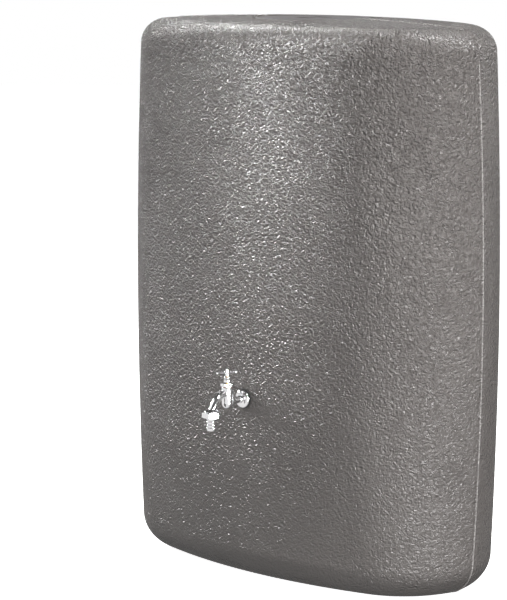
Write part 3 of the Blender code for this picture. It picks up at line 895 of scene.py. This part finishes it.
def set_camera():
    """Place the camera at a view from the front right, a little above the barrel's middle."""
    low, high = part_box("tank_shell")
    height = high.z - low.z + HEIGHT_OVER_RIM
    out = direction(CAMERA_AZIMUTH, CAMERA_ELEVATION)
    azimuth = CAMERA_AZIMUTH + CAMERA_YAW
    back = direction(azimuth, CAMERA_ELEVATION + CAMERA_PITCH)
    right = Vector((math.cos(azimuth), math.sin(azimuth), 0.0))
    up = back.cross(right)
    data = bpy.data.cameras.new("camera")
    data.sensor_width = 36.0
    data.lens = CAMERA_LENS
    data.clip_end = 100.0
    camera = bpy.data.objects.new("camera", data)
    bpy.context.scene.collection.objects.link(camera)
    matrix = Matrix((right, up, back)).transposed().to_4x4()
    matrix.translation = Vector((0.0, 0.0, height / 2)) + out * (CAMERA_DISTANCE * height)
    camera.matrix_world = matrix
    bpy.context.scene.camera = camera


def soft_box(name, azimuth, elevation, distance, size, power, aim=MIDDLE, spark=False):
    """Add an area light, its angles in degrees; a spark only shows as a glint on the surfaces."""
    data = bpy.data.lights.new(name, "AREA")
    data.shape = "RECTANGLE"
    data.size, data.size_y = size
    data.energy = power
    light = bpy.data.objects.new(name, data)
    bpy.context.scene.collection.objects.link(light)
    out = direction(math.radians(azimuth), math.radians(elevation))
    light.location = Vector(aim) + out * distance
    light.rotation_mode = "QUATERNION"
    light.rotation_quaternion = out.to_track_quat("Z", "Y")
    if spark:
        light.visible_diffuse = False
        light.visible_camera = False


def set_floor():
    """Add the pale floor, which neither lights the barrel nor shows in its reflections."""
    bm = bmesh.new()
    bmesh.ops.create_circle(bm, cap_ends=True, segments=96, radius=14.0)
    floor = link("floor", take_mesh("floor", bm))
    floor.location.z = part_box("tank_shell")[0].z - 0.0005
    n = Nodes("floor_paper")
    n.finish(Base_Color=(0.86, 0.86, 0.86), Roughness=0.9,
             Emission_Color=(1.0, 1.0, 1.0), Emission_Strength=1.0)
    floor.data.materials.append(n.material)
    floor.visible_glossy = False
    floor.visible_diffuse = False


def set_room():
    """Make the world: a white backdrop, and a room that is brightest low down in front."""
    world = bpy.data.worlds.new("studio")
    world.use_nodes = True
    tree = world.node_tree
    tree.nodes.remove(tree.nodes["Background"])

    def add(kind, inputs):
        node = tree.nodes.new(kind)
        for key, value in inputs.items():
            if isinstance(value, bpy.types.NodeSocket):
                tree.links.new(value, node.inputs[key])
            else:
                node.inputs[key].default_value = value
        return node.outputs

    def multiply(first, second):
        outputs = add("ShaderNodeMath", {0: first, 1: second})
        outputs[0].node.operation = "MULTIPLY"
        return outputs[0]

    split = add("ShaderNodeSeparateXYZ", {"Vector": add("ShaderNodeTexCoord", {})["Generated"]})
    up, front = (
        add("ShaderNodeMapRange", {
            "Value": split[axis], "From Min": start, "From Max": end,
            "To Min": at_start, "To Max": at_end,
        })["Result"]
        for axis, start, end, at_start, at_end in ROOM_FALLS
    )
    strength = multiply(up, front)
    mirrored = add("ShaderNodeBackground", {"Color": (1.0, 0.99, 0.98, 1.0), "Strength": strength})
    fill = add("ShaderNodeBackground", {
        "Color": (1.0, 0.99, 0.99, 1.0), "Strength": multiply(strength, ROOM_FILL),
    })
    backdrop = add("ShaderNodeBackground", {"Color": (1.0, 1.0, 1.0, 1.0), "Strength": 1.0})
    path = add("ShaderNodeLightPath", {})
    room = add("ShaderNodeMixShader", {
        "Fac": path["Is Glossy Ray"], 1: fill["Background"], 2: mirrored["Background"],
    })
    seen = add("ShaderNodeMixShader", {
        "Fac": path["Is Camera Ray"], 1: room["Shader"], 2: backdrop["Background"],
    })
    tree.links.new(seen["Shader"], tree.nodes["World Output"].inputs["Surface"])
    bpy.context.scene.world = world


def set_lights():
    """Add the soft boxes and the small lights that make the glints on the grain."""
    soft_box("left_box", -76.0, 20.0, 3.6, (0.7, 0.7), 135.0)
    soft_box("right_strip", 68.0, -4.0, 2.4, (0.25, 1.5), 52.0)
    soft_box("right_box", 75.0, 48.0, 3.4, (0.4, 0.4), 118.0)
    soft_box("back_box", 175.0, 52.0, 2.6, (1.0, 0.45), 40.0)
    soft_box("overhead_spark", 150.0, 76.0, 1.6, (0.3, 0.3), 11.0, SHOULDER, spark=True)
    soft_box("left_spark", -112.0, 36.0, 3.0, (0.4, 0.4), 24.0, spark=True)
    soft_box("right_spark", 84.0, -4.0, 2.4, (0.10, 1.5), 30.0, spark=True)
    soft_box("front_box", -25.0, 35.0, 3.2, (1.6, 1.6), 10.0)
    bpy.context.scene.view_settings.view_transform = "Standard"


# ---------------------------------------------------------------- assembly

set_camera()
set_floor()
set_room()
set_lights()

skin = tank_skin()
skin.data.materials.append(stone_plastic())
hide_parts("tank_shell")
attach(skin, "tank")

chrome = plain_metal("chrome_plate", (0.82, 0.82, 0.83), 0.07)
brass = plain_metal("machined_brass", (0.72, 0.50, 0.20), 0.26)
rubber = plain_soft("black_rubber", (0.020, 0.020, 0.021), 0.60, 500.0)
fibre = plain_soft("red_fibre", (0.28, 0.09, 0.05), 0.80, 900.0)
packing = plain_soft("white_packing", (0.70, 0.69, 0.66), 0.60, 900.0)
lid_plastic = plain_soft("lid_plastic", (0.120, 0.113, 0.116), 0.45, 800.0)
slot_materials = {"chrome": chrome, "brass": brass, "rubber": rubber, "fibre": fibre,
                  "packing": packing, "lid_plastic": lid_plastic}
slot_of = {entry["node"]: entry["material_slot"] for entry in frame["record"]["subparts"]}
bodies = frame["record"]["behaviour"]["bodies"]
body_of = {node: body for body, nodes in bodies.items() for node in nodes}
makers = {
    "lid": make_lid,
    "tap_rosette": make_rosette,
    "tap_body": make_tap_body,
    "bonnet": make_bonnet,
    "packing_nut": make_packing_nut,
    "spindle": make_spindle,
    "tee_handle": make_handle,
    "handle_screw": make_handle_screw,
    "union_nut": make_union_nut,
    "hose_tail": make_hose_tail,
}
for node, slot in slot_of.items():
    if node in makers:
        piece = settle(makers[node]())
        fit_piece(piece, node, slot_materials[slot], body_of[node], slot)
    elif slot in slot_materials:
        mesh = frame["nodes"][node].data
        mesh.materials.clear()
        mesh.materials.append(slot_materials[slot])
